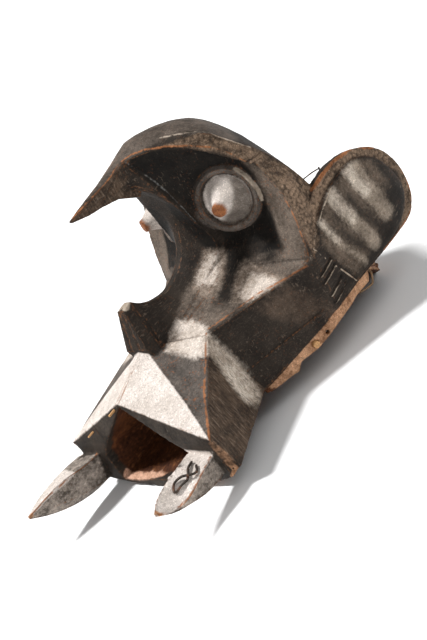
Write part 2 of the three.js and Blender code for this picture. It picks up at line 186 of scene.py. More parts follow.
class Paint:
    def __init__(self, name):
        self.material = bpy.data.materials.new(name)
        self.material.use_nodes = True
        self.tree = self.material.node_tree
        self.surface = self.tree.nodes["Principled BSDF"]
        self.place = self.node("TexCoord", {}, {}, "Object")

    def node(self, kind, settings, values, output=0):
        made = self.tree.nodes.new("ShaderNode" + kind)
        for name, value in settings.items():
            if name == "stops":
                self.setStops(made.color_ramp, value)
            else:
                setattr(made, name, value)
        for name, value in values.items():
            self.feed(made.inputs[name], value)
        return Wire(self, made.outputs[output])

    def feed(self, socket, value):
        if isinstance(value, Wire):
            self.tree.links.new(value.socket, socket)
        elif socket.type == "RGBA":
            socket.default_value = (*value, 1)
        else:
            socket.default_value = value

    def setStops(self, ramp, stops):
        while len(ramp.elements) < len(stops):
            ramp.elements.new(0.5)
        for element, (position, colour) in zip(ramp.elements, stops):
            element.position = position
            element.color = (*colour, 1)

    def spread(self, size, stretch):
        # places on the piece, counted in lumps of a size in millimetres
        scale = [1 / (size * millimetre * s) for s in stretch]
        return self.node("Mapping", {}, {"Vector": self.place, "Scale": scale})

    def noise(self, size, detail=3, stretch=(1, 1, 1), roughness=0.55):
        # random values from 0 to 1
        values = {"Scale": 1, "Detail": detail, "Roughness": roughness}
        return self.node("TexNoise", {}, {"Vector": self.spread(size, stretch), **values})

    def cells(self, size, stretch=(1, 1, 1), feature="F1"):
        values = {"Vector": self.spread(size, stretch), "Scale": 1}
        return self.node("TexVoronoi", dict(feature=feature), values)

    def field(self, name):
        return self.node("Attribute", dict(attribute_name=name), {}, "Fac")

    def blend(self, amount, under, over):
        return self.node("Mix", dict(data_type="RGBA"), {0: amount, 6: under, 7: over}, 2)

    def ramp(self, amount, *stops):
        return self.node("ValToRGB", dict(stops=stops), {"Fac": amount})

    def relief(self, height, depth):
        # depth is the height of the relief in millimetres
        values = {"Height": height, "Strength": 1, "Distance": depth * millimetre}
        return self.node("Bump", {}, values)

    def set(self, **values):
        for name, value in values.items():
            self.feed(self.surface.inputs[name.replace("_", " ")], value)


# Places on the wood

weldWithin = 0.02


def welded(mesh):
    shape = bmesh.new()
    shape.from_mesh(mesh)
    bmesh.ops.remove_doubles(shape, verts=shape.verts, dist=weldWithin * millimetre)
    return shape


class Block:
    # the frame's solid: its faces, and the smooth patches between its creases
    creaseAngle = math.radians(12)
    edgeAngle = math.radians(24)
    castTurns = 80
    castStep = 0.12  # in pixels, for each turn of the search

    def __init__(self, source):
        shape = welded(source.data)
        intoPlace = Matrix.Translation(-peakOfMouth) @ Matrix.Scale(1 / millimetre, 4)
        bmesh.ops.transform(shape, matrix=intoPlace, verts=shape.verts)
        shape.faces.ensure_lookup_table()
        shape.normal_update()
        self.tree = BVHTree.FromBMesh(shape)
        self.shape = shape
        self.patchOf = self.findPatches(shape)
        self.ridges = self.creases(shape, 1)
        self.hollows = self.creases(shape, -1)

    def findPatches(self, shape):
        patchOf = np.full(len(shape.faces), -1)
        for start in shape.faces:
            if patchOf[start.index] >= 0:
                continue
            patchOf[start.index] = start.index
            waiting = [start]
            while waiting:
                face = waiting.pop()
                for edge in face.edges:
                    if edge.calc_face_angle(0) > self.creaseAngle:
                        continue
                    for near in edge.link_faces:
                        if patchOf[near.index] < 0:
                            patchOf[near.index] = start.index
                            waiting.append(near)
        return patchOf

    def creases(self, shape, sign):
        # ridges with a sign of 1, hollows with -1
        edges = [e for e in shape.edges if e.calc_face_angle_signed(0) * sign > self.edgeAngle]
        return edgeTree(edges)

    def cast(self, pixel):
        # the place that is seen at a pixel, or at the nearest one where the wood is seen
        for turn in range(self.castTurns):
            aside = turn * self.castStep
            aim = (pixel[0] + aside * math.cos(turn), pixel[1] + aside * math.sin(turn))
            place, _, face, _ = self.tree.ray_cast(Vector(view["place"]), sightLine(aim))
            if place is not None:
                return place, face
        raise ValueError(f"nothing is seen at {pixel}")

    def onWood(self, pixels):
        # folded onto the side that the photograph shows
        places = np.array([self.cast(pixel)[0] for pixel in pixels])
        places[:, 0] = np.abs(places[:, 0])
        return places


def edgeTree(edges):
    # finds the nearest place on some edges
    points = []
    for edge in edges:
        start, end = edge.verts[0].co, edge.verts[1].co
        steps = max(1, math.ceil((end - start).length))
        points.extend(start.lerp(end, i / steps) for i in range(steps + 1))
    tree = KDTree(len(points))
    for i, point in enumerate(points):
        tree.insert(point, i)
    tree.balance()
    return tree


def sightLine(pixel):
    across = (pixel[0] - view["width"] / 2) * pixelShare
    down = (pixel[1] - view["height"] / 2) * pixelShare
    way = Vector(view["right"]) * across - Vector(view["up"]) * down - Vector(view["back"])
    return way.normalized()


def seenAt(points):
    # where the photograph's camera sees each point, in pixels
    axes = np.array([view["right"], view["up"], view["back"]])
    local = (points - np.array(view["place"])) @ axes.T
    across = local[:, 0] / -local[:, 2] / pixelShare + view["width"] / 2
    down = -local[:, 1] / -local[:, 2] / pixelShare + view["height"] / 2
    return np.stack([across, down], axis=1)


veryFar = 1e6
tiny = 1e-9


def lineDistance(points, path):
    nearest = np.full(len(points), veryFar)
    for start, end in zip(path, path[1:]):
        along = end - start
        share = np.clip((points - start) @ along / max(along @ along, tiny), 0, 1)
        away = points - start - share[:, None] * along
        nearest = np.minimum(nearest, np.sqrt((away * away).sum(axis=1)))
    return nearest


def outlineDistance(points, outline):
    # positive inside a closed outline and negative outside it
    outline = np.array(outline, float)
    closed = np.vstack([outline, outline[:1]])
    inside = np.zeros(len(points), bool)
    x, y = points[:, 0], points[:, 1]
    for (ax, ay), (bx, by) in zip(closed, closed[1:]):
        crosses = (ay > y) != (by > y)
        rise = by - ay if by != ay else tiny
        inside ^= crosses & (x < ax + (y - ay) * (bx - ax) / rise)
    return np.where(inside, 1, -1) * lineDistance(points, closed)


# Random relief, the same on every run


mixers = (73856093, 19349663, 83492791, 2654435761)
spreaders = (0x9E3779B1, 0x85EBCA6B)
wordMask, halfMask, halfWay = 0xFFFFFFFF, 0xFFFF, 0x7FFF


def scatter(ix, iy, iz, seed):
    # one random value between -1 and 1 for each whole place
    mixed = (ix * mixers[0]) ^ (iy * mixers[1]) ^ (iz * mixers[2]) ^ (seed * mixers[3])
    mixed = (mixed & wordMask) * spreaders[0]
    mixed = ((mixed >> 15) ^ mixed) & wordMask
    mixed = (mixed * spreaders[1]) & wordMask
    return ((mixed >> 8) & halfMask) / halfWay - 1


def lumps(points, size, seed, stretch=(1, 1, 1)):
    # smooth random values between -1 and 1
    scaled = points / (size * np.array(stretch))
    cell = np.floor(scaled).astype(np.int64)
    share = scaled - cell
    share = share * share * (3 - 2 * share)
    total = np.zeros(len(points))
    for corner in np.ndindex(2, 2, 2):
        weight = np.prod(np.where(np.array(corner) == 1, share, 1 - share), axis=1)
        x, y, z = (cell + np.array(corner)).T
        total += weight * scatter(x, y, z, seed)
    return total


def roughness(points, size, seed, octaves=3, stretch=(1, 1, 1)):
    # lumps on lumps, each half the size and half the height of the last
    total = sum(lumps(points, size / 2**k, seed + k, stretch) / 2**k for k in range(octaves))
    return total / 1.5


scoopJitter = 0.45


def scoops(points, size, seed):
    # distance to the nearest of random centres: 0 in the middle of a tool cut, about 1 at its edge
    scaled = points / size
    cell = np.floor(scaled).astype(np.int64)
    nearest = np.full(len(points), veryFar)
    for step in np.ndindex(3, 3, 3):
        home = cell + np.array(step) - 1
        x, y, z = home.T
        aside = np.stack([scatter(x, y, z, seed + k) for k in range(3)], axis=1) * scoopJitter
        away = home + aside + 0.5 - scaled
        nearest = np.minimum(nearest, (away * away).sum(axis=1))
    return np.sqrt(nearest)


block = Block(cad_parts["mask_body"])
print("block read")


# The carved body: the frame's solid in fine mesh, softened, tooled, chipped and worn

carving = dict(
    cell=1.25,
    quickCell=1.8,
    triangles=192000,
    quickTriangles=120000,
    softening=14,  # rounds
    sharp=0.06,  # how far a crease and a face give way in each round
    soft=0.95,
    softFrom=1.2,  # millimetres from a crease
    softTo=6,
    hold=0.8,  # how much of a crease's shape is kept to the solid's
    tusksFrom=-13,
    swell=2.6,
    thinEdge=9,
    thinShare=0.1,
)

# relief that tools, wear and breaks leave: sizes, depths and reaches in millimetres
tooling = dict(
    cuts=dict(size=17, seed=5, depth=0.5, level=0.7),
    sway=dict(size=34, seed=11, depth=0.35),
    bumps=dict(size=5, seed=21, depth=0.12),
    creaseReach=4,
    creaseLeast=0.2,
    chips=dict(size=8, seed=31, gain=1.6, level=0.15, depth=0.9, least=0.25, reach=3),
    pits=dict(size=4.5, seed=41, depth=0.825, level=0.45),
    crumbs=dict(size=3, seed=51, depth=0.375),
    roughReach=3,
    corner=dict(size=7, seed=61, gain=1, level=0, depth=2.2, least=1.2, reach=9),
    cornerReach=5,
)

# smooth faces of the carving, each named by pixels that lie on it
faces = dict(
    crest=[(153, 135), (100, 178)],
    hood=[(218, 145), (293, 175)],
    eyeField=[(168, 155), (263, 255), (278, 242)],
    cheek=[(243, 280)],
    flank=[(193, 260), (220, 245)],
    cheekSide=[(258, 310), (318, 275)],
    roof=[(168, 380)],
    muzzleSide=[(228, 400)],
    mouthFront=[(170, 435)],
    earPanel=[(363, 220)],
    horn=[(98, 195)],
)

eye = dict(
    centre=(63.5, 242.5, 92.5),
    normal=(0.5, -0.85, 0.16),
    axis=(0.319, -0.94, 0.05),
    ringFrom=30,
    ringTo=41.5,
    coneRadius=29,
    bareTip=9,
    behind=14,  # how far a round mark reaches behind the eye's middle, and before it
    before=50,
)


class Wood:
    # the points of a mesh with all that the marks are measured from
    limit = 30  # the distance that is told apart, in millimetres

    def __init__(self, points):
        self.points = points
        self.folded = points.copy()
        self.folded[:, 0] = np.abs(points[:, 0])
        self.near = points[:, 0] > 0
        self.face = np.array([block.tree.find_nearest(place)[2] for place in self.folded])
        self.pixels = seenAt(self.folded)
        self.ownPixels = seenAt(points)
        self.fields = {}

    def facesField(self, names):
        # distance in from the edge of some named smooth faces, negative outside them
        if names not in self.fields:
            pixels = [pixel for name in names.split() for pixel in faces[name]]
            patches = {block.patchOf[block.cast(pixel)[1]] for pixel in pixels}
            isIn = np.isin(block.patchOf, list(patches))
            border = [
                edge
                for edge in block.shape.edges
                if len({bool(isIn[face.index]) for face in edge.link_faces}) == 2
            ]
            away = distances(edgeTree(border), self.folded)
            self.fields[names] = np.where(isIn[self.face], away, -away)
        return self.fields[names]

    def eyeField(self, radiusFrom, radiusTo, axis):
        # distance in from the edges of a round band about the eye
        middle = np.array(eye["centre"])
        axis = np.array(axis) / np.linalg.norm(axis)
        away = self.folded - middle
        height = away @ axis
        radius = np.sqrt(np.maximum((away * away).sum(axis=1) - height * height, 0))
        field = np.minimum(radius - radiusFrom, radiusTo - radius)
        return np.minimum(field, np.minimum(height + eye["behind"], eye["before"] - height))

    def mark(self, mark):
        # distance in from the edge of one painted mark
        side = mark.get("side", "both")
        far = side == "far"
        if "line" in mark or "path" in mark:
            path = block.onWood(mark["line"]) if "line" in mark else np.array(mark["path"], float)
            if far:
                path[:, 0] *= -1
            points = self.points if side != "both" else self.folded
            field = mark["width"] / 2 - lineDistance(points, path)
        elif "outline" in mark:
            pixels = self.ownPixels if far else self.pixels
            field = outlineDistance(pixels, mark["outline"]) * view["perPixel"]
        elif "ring" in mark:
            field = self.eyeField(*mark["ring"])
        else:
            field = np.full(len(self.points), veryFar)
        if "faces" in mark:
            field = np.minimum(field, self.facesField(mark["faces"]) + mark.get("over", 0))
        if "below" in mark:
            height = np.interp(self.points[:, 1], mark["below"][0], mark["below"][1])
            field = np.minimum(field, height - self.points[:, 2])
        if side == "near":
            field = np.where(self.near, field, -self.limit)
        if far:
            field = np.where(self.near, -self.limit, field)
        return field

    def marks(self, marks):
        return np.clip(np.max([self.mark(mark) for mark in marks], axis=0), -self.limit, self.limit)


def thickened(source):
    # the tusks' thin edges are swelled, so that the cells don't lose them
    mesh = source.copy()
    shape = welded(mesh)
    shape.normal_update()
    for corner in shape.verts:
        if corner.co.y / millimetre - peakOfMouth.y < carving["tusksFrom"]:
            corner.co += corner.normal * carving["swell"] * millimetre
    shape.to_mesh(mesh)
    return mesh


def inCells(mesh, cell):
    # the mesh again, in even cells of a size in millimetres
    coarse = added("coarse", mesh)
    remesh = coarse.modifiers.new("cells", "REMESH")
    remesh.mode = "VOXEL"
    remesh.voxel_size = cell * millimetre
    return applied(coarse)


def applied(coarse):
    graph = bpy.context.evaluated_depsgraph_get()
    mesh = bpy.data.meshes.new_from_object(coarse.evaluated_get(graph))
    bpy.data.objects.remove(coarse)
    return mesh


def readVertices(mesh, what):
    values = np.empty(len(mesh.vertices) * 3)
    mesh.vertices.foreach_get(what, values)
    return values.reshape(-1, 3)


def readPoints(mesh):
    return readVertices(mesh, "co") / millimetre - np.array(peakOfMouth)


def writePoints(mesh, points):
    mesh.vertices.foreach_set("co", ((points + np.array(peakOfMouth)) * millimetre).ravel())
    mesh.update()


def distances(tree, points):
    return np.array([tree.find(point)[2] for point in points])


def softened(mesh, points, weight, rounds):
    # moves each point towards the middle of its neighbours
    ends = np.empty(len(mesh.edges) * 2, np.int64)
    mesh.edges.foreach_get("vertices", ends)
    a, b = ends.reshape(-1, 2).T
    count = np.bincount(a, minlength=len(points)) + np.bincount(b, minlength=len(points))
    for _ in range(rounds):
        middle = np.empty_like(points)
        for axis in range(3):
            values = points[:, axis]
            total = np.bincount(a, values[b], len(points)) + np.bincount(b, values[a], len(points))
            middle[:, axis] = total / count
        points = points + weight[:, None] * (middle - points)
    return points


cracks = [
    dict(line=[(261, 152), (255, 157), (247, 162), (242, 172), (237, 178)], width=1.7, depth=2.2),
    dict(line=[(216, 138), (213, 143), (211, 150)], width=1.5, depth=1.6),
    dict(line=[(290, 213), (291, 206), (293, 203)], width=1.4, depth=1.2),
    dict(line=[(163, 358), (170, 354), (176, 350)], width=1.3, depth=0.8),
    dict(line=[(100, 434), (96, 429)], width=1.2, depth=1),
]
slitHeights = (-24, -33, -49.5, -59.5)
slitCourse = ((137, 230, -2), (136, 246, -0.6), (135, 262, 1.5))
lipCourse = ((137, 230, -4.6), (136, 246, -3), (135, 262, -0.7))


def raised(course, height):
    return [(x, y, z + height) for x, y, z in course]


slits = [dict(path=raised(slitCourse, height), width=2.6, depth=3) for height in slitHeights]
lips = [dict(path=raised(lipCourse, height), width=1.7) for height in slitHeights]
seams = [
    dict(line=[(143, 350), (160, 369), (182, 398), (207, 437)], width=3.5, depth=-0.9),
    dict(line=[(127, 163), (145, 174), (162, 187), (180, 205), (196, 222)], width=3, depth=-0.8),
]
roughFaces = [
    dict(faces="hood", outline=[
        (118, 164), (131, 148), (150, 138), (200, 131), (240, 143), (285, 166), (330, 190), (318, 245),
        (309, 268), (303, 232), (288, 203), (270, 180), (247, 162), (212, 150), (165, 149),
    ]),
    dict(faces="hood", outline=[
        (316, 190), (330, 160), (352, 140), (385, 145), (412, 170), (415, 215), (400, 235), (404, 200),
        (398, 170), (372, 158), (350, 163), (338, 172), (326, 195),
    ]),
]
brokenCorner = dict(line=[(214, 446), (226, 458), (237, 469)], width=14)


def lumpy(points, kind):
    return kind["depth"] * roughness(points, kind["size"], kind["seed"])


def scooped(points, kind):
    return kind["depth"] * (scoops(points, kind["size"], kind["seed"]) ** 2 - kind["level"])


def broken(points, kind, toRidge):
    # what is lost from a ridge: its least depth, and more in lumps
    lump = roughness(points, kind["size"], kind["seed"]) * kind["gain"] - kind["level"]
    return np.clip(1 - toRidge / kind["reach"], 0, 1) * (kind["least"] + kind["depth"] * np.clip(lump, 0, 1))


def toolHeight(points, toRidge, toCrease):
    # how far the relief stands out of the wood at each point
    wood = Wood(points)
    height = sum(lumpy(points, tooling[name]) for name in ("sway", "bumps"))
    height += scooped(points, tooling["cuts"])
    height *= np.clip(toCrease / tooling["creaseReach"], tooling["creaseLeast"], 1)
    height -= broken(points, tooling["chips"], toRidge)
    rough = np.clip(wood.marks(roughFaces) / tooling["roughReach"], 0, 1)
    height += rough * (scooped(points, tooling["pits"]) + lumpy(points, tooling["crumbs"]))
    atCorner = np.clip(wood.mark(brokenCorner) / tooling["cornerReach"], 0, 1)
    height -= atCorner * broken(points, tooling["corner"], toRidge)
    for cut in cracks + seams + slits:
        wider = dict(cut, width=cut["width"] * 2)
        height -= cut["depth"] * np.clip(wood.mark(wider) / cut["width"], 0, 1)
    return height


def carve():
    solid = thickened(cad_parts["mask_body"].data)
    mesh = inCells(solid, carving["cell"])
    points = readPoints(mesh)
    toRidge = distances(block.ridges, points)
    toCrease = np.minimum(toRidge, distances(block.hollows, points))
    tusk = points[:, 1] < carving["tusksFrom"]
    thin = tusk & (toRidge < carving["thinEdge"])
    away = np.clip((toCrease - carving["softFrom"]) / (carving["softTo"] - carving["softFrom"]), 0, 1)
    weight = carving["sharp"] + (carving["soft"] - carving["sharp"]) * away
    weight = np.where(thin, carving["sharp"], weight)
    points = softened(mesh, points, weight, carving["softening"])
    hold = np.where(tusk, 1, (1 - away) * carving["hold"])
    onSolid = np.array([block.tree.find_nearest(place)[0] for place in points])
    points = points + hold[:, None] * (onSolid - points)
    writePoints(mesh, points)
    height = toolHeight(points, toRidge, toCrease)
    height = np.where(thin, height * carving["thinShare"], height)
    points = points + readVertices(mesh, "normal") * height[:, None]
    points[:, 2] = np.maximum(points[:, 2], -peakOfMouth.z)  # nothing reaches below the floor
    writePoints(mesh, points)
    return lightened(mesh)


def lightened(mesh):
    fine = added("fine", mesh)
    fewer = fine.modifiers.new("fewer", "DECIMATE")
    wanted = carving["triangles"]
    fewer.ratio = wanted / (2 * len(mesh.polygons))
    light = applied(fine)
    light.name = "carved_body"
    return light


# The paint, from the wood outwards. Tones are two colours that mix in blotches.
# fade: softness of a mark's edge in millimetres, ragged: how far it wanders, cover: how opaque it is

paintLine = ((112, 116, 231, 310, 343, 372, 379), (-130, -94, -70.5, -72.5, -80, -98, -102))
layers = dict(
    crestDust=dict(
        tones=((0.05, 0.04, 0.032), (0.145, 0.115, 0.094)), fade=5, ragged=7, cover=0.85,
        marks=[dict(faces="crest", outline=[
            (66, 222), (78, 188), (118, 146), (150, 126), (190, 115), (228, 128), (236, 140), (215, 135),
            (185, 133), (160, 138), (119, 164), (98, 192), (72, 220),
        ])],
    ),
    dusty=dict(
        tones=((0.07, 0.055, 0.043), (0.18, 0.143, 0.115)), fade=5, ragged=7, cover=0.85,
        marks=[dict(faces="eyeField", outline=[
            (238, 158), (262, 170), (288, 198), (302, 230), (312, 262), (290, 272), (250, 262), (252, 252),
            (284, 250), (270, 214), (262, 186), (252, 170),
        ]), dict(faces="cheek", over=2, outline=[
            (252, 250), (320, 255), (300, 275), (276, 284), (255, 268),
        ]), dict(faces="cheek flank", over=2, outline=[
            (190, 284), (214, 290), (225, 302), (245, 306), (208, 330), (176, 322), (182, 300),
        ])],
    ),
    umber=dict(
        tones=((0.06, 0.039, 0.025), (0.27, 0.183, 0.122)), fade=3, ragged=5, cover=0.9,
        marks=roughFaces,
    ),
    earGround=dict(
        tones=((0.03, 0.023, 0.017), (0.14, 0.105, 0.078)), fade=4, ragged=6, cover=0.9,
        marks=[dict(faces="earPanel", outline=[
            (318, 240), (330, 180), (356, 160), (380, 158), (392, 175), (386, 200), (380, 225), (366, 262),
            (356, 285),
        ])],
    ),
    brown=dict(
        tones=((0.023, 0.015, 0.01), (0.09, 0.06, 0.04)), fade=3, ragged=5, cover=0.9,
        marks=[dict(faces="horn"), dict(faces="muzzleSide")],
    ),
    rubbedSide=dict(
        tones=((0.05, 0.034, 0.024), (0.12, 0.085, 0.062)), fade=9, ragged=10, cover=0.75,
        marks=[dict(faces="cheekSide", outline=[
            (255, 306), (290, 286), (318, 300), (336, 312), (324, 328), (300, 322), (268, 314),
        ])],
    ),
    ash=dict(
        tones=((0.05, 0.043, 0.037), (0.135, 0.113, 0.097)), fade=2.4, ragged=3.4, cover=0.9,
        marks=[
            dict(ring=(eye["ringFrom"], eye["ringTo"], eye["normal"])),
            dict(faces="roof", outline=[
                (140, 346), (165, 350), (190, 357), (207, 359), (206, 400), (211, 442), (182, 398),
                (160, 370),
            ]),
        ],
    ),
    tusks=dict(
        tones=((0.06, 0.049, 0.04), (0.4, 0.34, 0.29)), fade=2.4, ragged=4, cover=0.92,
        marks=[
            dict(side="far", outline=[
                (70, 478), (97, 455), (108, 482), (90, 496), (60, 512), (28, 520), (48, 497),
            ]),
            dict(side="far", outline=[(82, 450), (100, 452), (75, 474), (60, 472)]),
            dict(side="near", outline=[
                (212, 455), (226, 470), (214, 488), (190, 505), (180, 508), (196, 486), (202, 474),
            ]),
        ],
    ),
    smoke=dict(
        tones=((0.013, 0.0105, 0.0085), (0.052, 0.041, 0.033)), fade=3, ragged=5, cover=0.9,
        marks=[dict(faces="mouthFront")],
    ),
    # near-black paint on the eye field and the flank; the part right of the eye ring, down to the brow, is
    # the eye cone's cast shadow painted in
    soot=dict(
        tones=((0.004, 0.0034, 0.003), (0.013, 0.011, 0.009)), fade=2.5, ragged=3, cover=0.97,
        marks=[dict(faces="eyeField", outline=[
            (121, 163), (140, 153), (165, 149), (212, 150), (238, 158), (254, 176), (262, 200), (272, 214),
            (282, 250), (245, 256), (222, 250), (175, 205),
        ]), dict(faces="flank", outline=[
            (121, 166), (140, 168), (222, 246), (212, 258), (200, 243), (178, 222), (160, 196), (135, 182),
        ])],
    ),
    # painted shade: the shadow of the eye's ring and cone across the cheek, and the dark right side of the
    # rounded ear panel (its outline and its widest line); the ear lines of width 9 and 7 are dark painted
    # bands
    shaded=dict(
        tones=((0.006, 0.005, 0.004), (0.02, 0.016, 0.013)), fade=7, ragged=3, cover=0.9,
        marks=[
            dict(faces="cheek eyeField", over=5, outline=[
                (222, 246), (262, 247), (250, 258), (240, 266), (233, 282), (222, 306), (214, 304),
                (223, 278), (228, 262),
            ]),
            dict(faces="earPanel", outline=[
                (385, 185), (402, 182), (408, 205), (400, 235), (376, 262), (362, 280), (354, 276),
                (380, 240), (392, 215),
            ]),
            dict(faces="earPanel", width=9, line=[(350, 198), (362, 214), (385, 228)]),
            dict(faces="earPanel", width=16, line=[
                (384, 168), (394, 182), (400, 200), (398, 220), (386, 240),
            ]),
            dict(faces="earPanel", width=7, line=[(345, 234), (360, 245), (375, 255)]),
        ],
    ),
)
whites = dict(
    veil=dict(
        tones=((0.1, 0.074, 0.055), (0.34, 0.27, 0.215)), fade=5, ragged=6, cover=0.85,
        marks=[dict(faces="cheek flank", over=2, outline=[
            (204, 250), (224, 250), (226, 266), (222, 282), (214, 298), (194, 292), (194, 276), (200, 262),
        ]), dict(faces="cheek", over=2, outline=[
            (243, 260), (262, 266), (284, 279), (262, 295), (246, 305), (231, 303), (234, 286), (238, 270),
        ])],
    ),
    powder=dict(
        tones=((0.4, 0.33, 0.27), (0.7, 0.62, 0.55)), fade=4.5, ragged=7, cover=0.88,
        marks=[dict(faces="cheek flank", over=2, outline=[
            (208, 256), (217, 254), (219, 266), (214, 284), (197, 284), (196, 278), (202, 266),
        ]), dict(faces="cheek", over=2, outline=[
            (250, 274), (262, 274), (276, 281), (262, 292), (249, 301), (238, 298), (243, 284),
        ]), dict(faces="cheek roof flank", over=2, outline=[
            (178, 321), (193, 320), (206, 328), (209, 340), (208, 356), (192, 358), (178, 354), (165, 352),
            (170, 334),
        ])],
    ),
    chalk=dict(
        tones=((0.5, 0.44, 0.39), (0.7, 0.63, 0.58)), fade=1.3, ragged=2, cover=0.96,
        marks=[
            dict(ring=(-1, eye["coneRadius"], eye["normal"])),
            dict(faces="roof", over=1, outline=[
                (136, 346), (147, 352), (160, 370), (182, 399), (209, 440), (160, 424), (118, 405),
                (112, 407),
            ]),
            dict(side="near", outline=[
                (184, 450), (212, 452), (212, 458), (202, 474), (196, 486), (180, 508), (150, 522),
                (150, 500), (168, 474),
            ]),
            dict(side="far", outline=[(62, 469), (77, 473), (48, 498), (30, 518), (26, 512), (45, 488)]),
        ],
    ),
    # grey mottling on the cone's right half, darkened also as painted shade on the side turned from the
    # light
    mottled=dict(
        tones=((0.05, 0.041, 0.033), (0.2, 0.165, 0.135)), fade=4, ragged=8, cover=0.9,
        marks=[dict(outline=[
            (228, 178), (238, 177), (250, 190), (254, 206), (246, 222), (232, 226), (222, 222), (231, 208),
            (233, 192),
        ])],
    ),
    pale=dict(
        tones=((0.24, 0.19, 0.145), (0.66, 0.58, 0.49)), fade=6, ragged=8, cover=0.88,
        marks=[dict(faces="muzzleSide", over=1, width=36, line=[(213, 343), (231, 367), (250, 392)])],
    ),
    earBands=dict(
        tones=((0.15, 0.118, 0.088), (0.34, 0.28, 0.22)), fade=5, ragged=7, cover=0.75,
        marks=[
            dict(faces="earPanel", width=24, line=[(350, 164), (362, 182), (378, 200), (386, 210)]),
            dict(faces="earPanel", width=17, line=[(333, 198), (346, 214), (362, 228), (376, 242)]),
            dict(faces="earPanel", width=6, line=[(323, 226), (336, 240), (350, 250), (366, 262)]),
        ],
    ),
    # pale paint at the left ends of the ear's bands, made paler still as painted light on the side of the
    # rounded panel that faces the light
    earPale=dict(
        tones=((0.28, 0.235, 0.19), (0.62, 0.54, 0.45)), fade=6, ragged=8, cover=0.85,
        marks=[
            dict(faces="earPanel", width=15, line=[(346, 168), (356, 180), (366, 190)]),
            dict(faces="earPanel", width=14, line=[(332, 194), (340, 206), (352, 217)]),
            dict(faces="earPanel", width=4, line=[(322, 224), (330, 232), (338, 240)]),
        ],
    ),
    bare=dict(
        tones=((0.15, 0.07, 0.034), (0.54, 0.31, 0.18)), fade=0.8, ragged=1.2, cover=1,
        marks=[
            dict(below=paintLine),
            dict(width=7, line=[(228, 462), (237, 470), (235, 478)]),
            dict(width=5, side="far", line=[(33, 515), (28, 519)]),
            dict(width=7, side="near", line=[(160, 514), (155, 513)]),
        ],
    ),
    hewn=dict(
        tones=((0.03, 0.018, 0.011), (0.36, 0.2, 0.115)), fade=1.6, ragged=4, cover=0.85,
        marks=[dict(width=9, line=[(212, 445), (221, 453), (232, 464)])],
    ),
    bareTip=dict(
        tones=((0.09, 0.028, 0.012), (0.34, 0.13, 0.05)), fade=1.2, ragged=2, cover=1,
        marks=[dict(ring=(-1, eye["bareTip"], eye["axis"]))],
    ),
    lip=dict(
        tones=((0.3, 0.15, 0.09), (0.62, 0.38, 0.27)), fade=1.5, ragged=3, cover=1,
        marks=[dict(width=13, line=[(129, 474), (140, 475), (150, 475), (165, 472), (178, 466)])],
    ),
)
lines = dict(
    rubbed=dict(
        tones=((0.12, 0.04, 0.014), (0.36, 0.145, 0.058)), fade=0.7, ragged=2.4, cover=0.88,
        marks=[
            dict(width=2, line=[(72, 219), (95, 195), (110, 178), (119, 164)]),
            dict(width=2.1, line=[
                (119, 164), (130, 155.5), (145, 150), (165, 147), (190, 146), (212, 147.5),
            ]),
            dict(width=1, line=[(212, 147.5), (225, 151), (247, 162), (262, 173), (275, 186)]),
            dict(width=1.4, line=[(275, 186), (287, 202), (297, 222), (305, 245), (308, 262)]),
            dict(width=2.8, line=[(308, 266), (285, 279), (260, 293), (235, 311), (209, 329)]),
            dict(width=2.6, line=[(207, 333), (206, 355), (205, 380), (205, 400), (208, 425), (210, 440)]),
            dict(width=2.6, side="near", line=[
                (211, 457), (202, 474), (196, 486), (190, 497), (180, 507), (160, 515),
            ]),
            dict(width=2.6, side="far", line=[
                (98, 454), (84, 467), (73, 475), (60, 487), (48, 497), (32, 515),
            ]),
            dict(width=1.6, side="near", line=[(184, 455), (170, 475), (157, 497), (151, 511)]),
            dict(width=2.2, line=[(401, 163), (408, 177), (412, 194), (412, 209), (408, 225)]),
            dict(width=2.2, line=[(408, 225), (401, 239), (390, 254), (377, 272), (363, 287)]),
            dict(width=1.5, line=[(144, 349), (134, 365), (119, 404)]),
            dict(width=5, line=[(312, 190), (322, 176), (335, 160), (352, 149), (372, 145)]),
        ],
    ),
    # pale polish on worn edges, with painted highlights: the line along the hood's rear edge, and the stroke
    # on the eye ring's upper right rim
    polished=dict(
        tones=((0.3, 0.24, 0.18), (0.55, 0.46, 0.37)), fade=0.9, ragged=2, cover=0.75,
        marks=[
            dict(width=2, line=[(160, 138), (185, 133), (205, 132), (217, 136), (235, 142), (251, 147)]),
            dict(width=9, line=[(119, 308), (127, 304)]),
            dict(width=5.5, line=[(236, 169), (244, 174), (252, 182), (259, 191), (262, 199)]),
        ],
    ),
    lips=dict(
        tones=((0.3, 0.23, 0.17), (0.55, 0.45, 0.35)), fade=0.4, ragged=0.7, cover=0.85,
        marks=lips + [
            # painted highlights along the ear panel's lit left edge and along the ledge at its foot
            dict(width=1.5, line=[(332, 187), (323, 210), (316, 235), (311, 258)]),
            dict(width=1.7, line=[(314, 249), (330, 262), (345, 272), (357, 281)]),
        ],
    ),
    scratched=dict(
        tones=((0.09, 0.09, 0.088), (0.28, 0.28, 0.27)), fade=0.6, ragged=2.6, cover=0.6,
        marks=[dict(width=1.4, line=[
            (127, 163), (135, 168), (150, 178), (165, 190), (180, 205), (196, 222),
        ])],
    ),
    # painted shade: near-black inside the cut slits and cracks; the layer also puts a near-black spot on the
    # broken jaw corner
    dark=dict(
        tones=((0.003, 0.0025, 0.002), (0.006, 0.005, 0.004)), fade=0.4, ragged=0.5, cover=1,
        marks=slits + [dict(cut, width=1.3) for cut in cracks]
        + [dict(width=3, line=[(233.5, 469), (234, 469.5)])],
    ),
)

